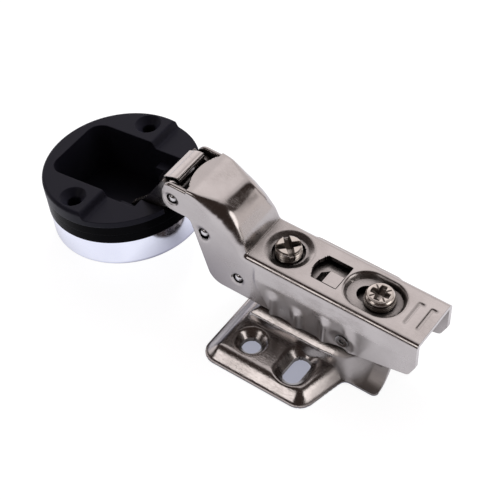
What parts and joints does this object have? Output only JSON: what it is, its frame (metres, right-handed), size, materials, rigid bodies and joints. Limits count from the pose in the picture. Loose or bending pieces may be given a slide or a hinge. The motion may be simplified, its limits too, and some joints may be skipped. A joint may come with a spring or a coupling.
{
  "type": "concealed cup hinge",
  "caption": "Concealed cup hinge for a glass door: cranked arm on a pressed mounting plate, two links, black cup with a chrome cover.",
  "frame": {"origin": "on the cabinet wall plane, midway between the plate's two round screw holes", "axes": "+X along the arm towards its tail, +Z out from the cabinet wall, +Y across the plate"},
  "size_m": [0.1156, 0.0506, 0.0362],
  "materials": {
    "nickel_plate": "bright nickel plate on pressed steel",
    "nickel_screw": "bright nickel plate on turned steel",
    "bright_pin": "plain bright steel",
    "spring_steel": "oiled spring steel",
    "chrome_cover": "polished chrome plate",
    "black_plastic": "fine satin, moulded",
    "black_gasket": "smooth, glossy",
    "sleeve_plastic": "natural moulded"
  },
  "bodies": {
    "plate": {"mounting_plate": "nickel_plate", "saddle": "nickel_plate", "clamp_nut": "nickel_screw"},
    "clamp_screw": {"fixing_screw": "nickel_screw"},
    "collar": {"screw_collar": "nickel_screw"},
    "hinge_arm": {"arm": "nickel_plate", "guide_channel": "nickel_plate", "guide_rivets": "bright_pin", "outer_link_rivet": "bright_pin", "inner_link_rivet": "bright_pin", "spring_rivet": "bright_pin", "spring_sleeve": "sleeve_plastic", "closing_spring": "spring_steel"},
    "side_screw": {"side_adjust_screw": "nickel_screw"},
    "long_link": {"outer_link": "nickel_plate"},
    "cup": {"cup_body": "black_plastic", "cup_outer_pins": "bright_pin", "cup_inner_pin": "bright_pin", "upper_gasket": "black_gasket", "lower_gasket": "black_gasket", "cover_cap": "chrome_cover"},
    "short_link": {"inner_link": "nickel_plate"}
  },
  "joints": [
    {"name": "door_swing", "type": "hinge", "parent": "long_link", "child": "cup", "pos_m": [-0.04127, 0, 0.01778], "axis": [0, 1, 0], "range_deg": [0, 106.6]},
    {"name": "long_link_turn", "type": "hinge", "parent": "hinge_arm", "child": "long_link", "pos_m": [-0.0298, 0, 0.0305], "axis": [0, -1, 0], "range_deg": [0, 7.61]},
    {"name": "short_link_turn", "type": "hinge", "parent": "cup", "child": "short_link", "pos_m": [-0.04299, 0, 0.01329], "axis": [0, -1, 0], "range_deg": [0, 86.71]},
    {"name": "side_tilt", "type": "hinge", "parent": "plate", "child": "collar", "pos_m": [0.0269, 0, 0.0204], "axis": [0, 1, 0], "range_deg": [-0.8, 1.5]},
    {"name": "depth_slide", "type": "slide", "parent": "collar", "child": "hinge_arm", "axis": [1, 0, 0], "range_m": [-0.001, 0.003]},
    {"name": "side_screw_turn", "type": "hinge", "parent": "hinge_arm", "child": "side_screw", "pos_m": [0.0002, 0, 0.022], "axis": [0, 0, 1], "range_deg": [-135, 253]},
    {"name": "clamp_screw_turn", "type": "hinge", "parent": "plate", "child": "clamp_screw", "pos_m": [0.0269, 0, 0.02], "axis": [0, 0, 1], "continuous": true}
  ],
  "couplings": [
    {"joint": "long_link_turn", "follows": "door_swing", "ratio": 0.071312},
    {"joint": "short_link_turn", "follows": "door_swing", "ratio": 0.8133},
    {"joint": "side_screw_turn", "follows": "side_tilt", "ratio": 168}
  ]
}
